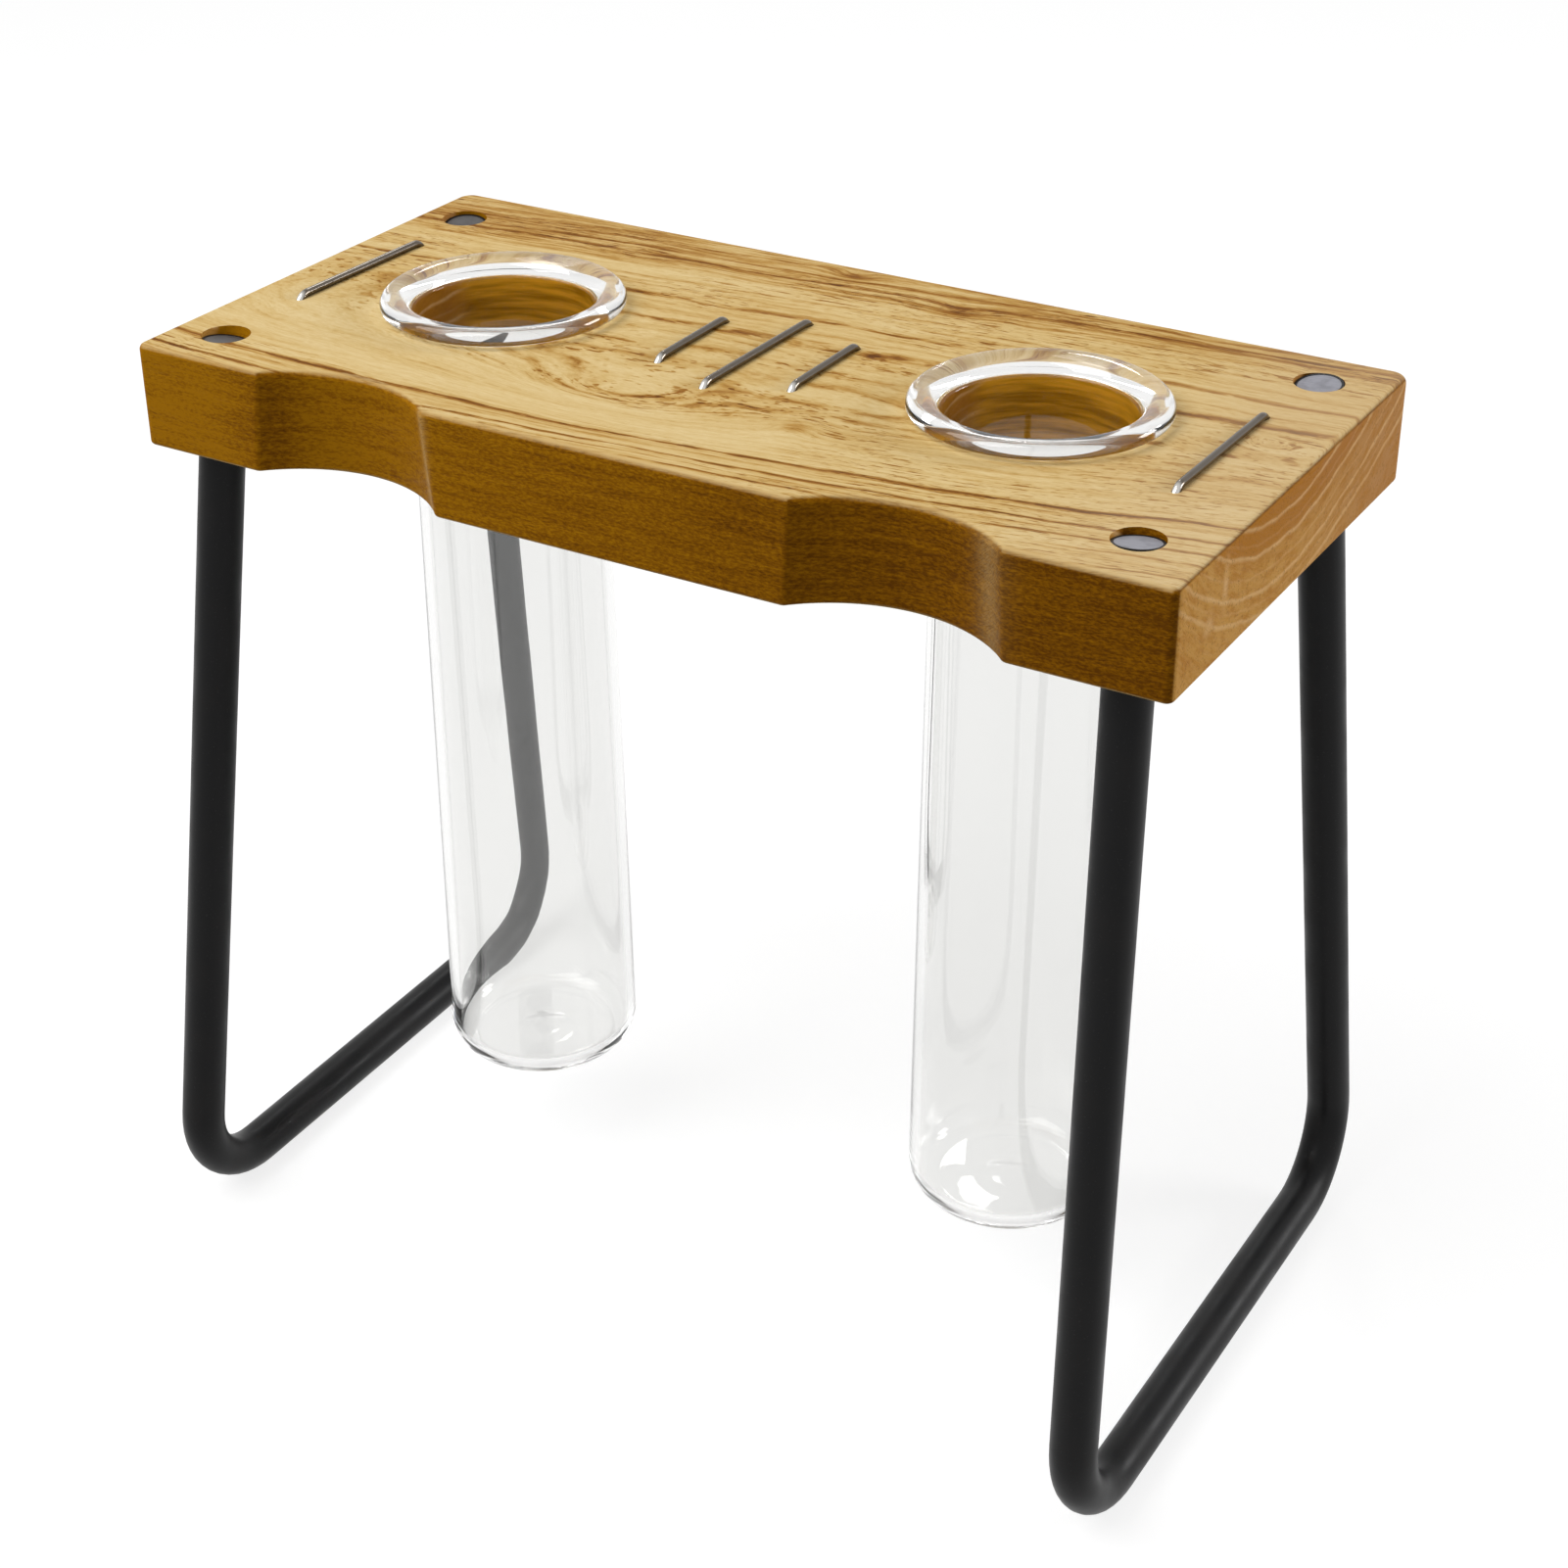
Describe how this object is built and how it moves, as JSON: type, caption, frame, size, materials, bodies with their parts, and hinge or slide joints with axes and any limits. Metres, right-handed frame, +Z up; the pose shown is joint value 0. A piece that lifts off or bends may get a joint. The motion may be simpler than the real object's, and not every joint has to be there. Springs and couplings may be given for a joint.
{
  "type": "test tube vase",
  "caption": "Small wooden stand top with scalloped front on bent black rod legs, with hanging clear glass test tubes that lift out to hold single stems.",
  "frame": {"origin": "on the table, under the middle between the two rod stands", "axes": "+X along the wooden top to the right as seen from the scalloped front, +Y towards the straight back edge, +Z up"},
  "size_m": [0.1541, 0.097, 0.1391],
  "materials": {
    "wood": "oiled, satin",
    "black_rod": "satin black coat",
    "clear_glass": "clear, polished",
    "bright_wire": "bright drawn wire"
  },
  "bodies": {
    "frame": {"wooden_top": "wood", "left_stand": "black_rod", "right_stand": "black_rod", "left_staple": "bright_wire", "centre_left_staple": "bright_wire", "centre_staple": "bright_wire", "centre_right_staple": "bright_wire", "right_staple": "bright_wire"},
    "left_vessel": {"left_tube": "clear_glass"},
    "right_vessel": {"right_tube": "clear_glass"}
  },
  "joints": [
    {"name": "left_tube_lift", "type": "slide", "parent": "frame", "child": "left_vessel", "axis": [0, 0, 1], "range_m": [0, 0.125]},
    {"name": "right_tube_lift", "type": "slide", "parent": "frame", "child": "right_vessel", "axis": [0, 0, 1], "range_m": [0, 0.125]}
  ]
}
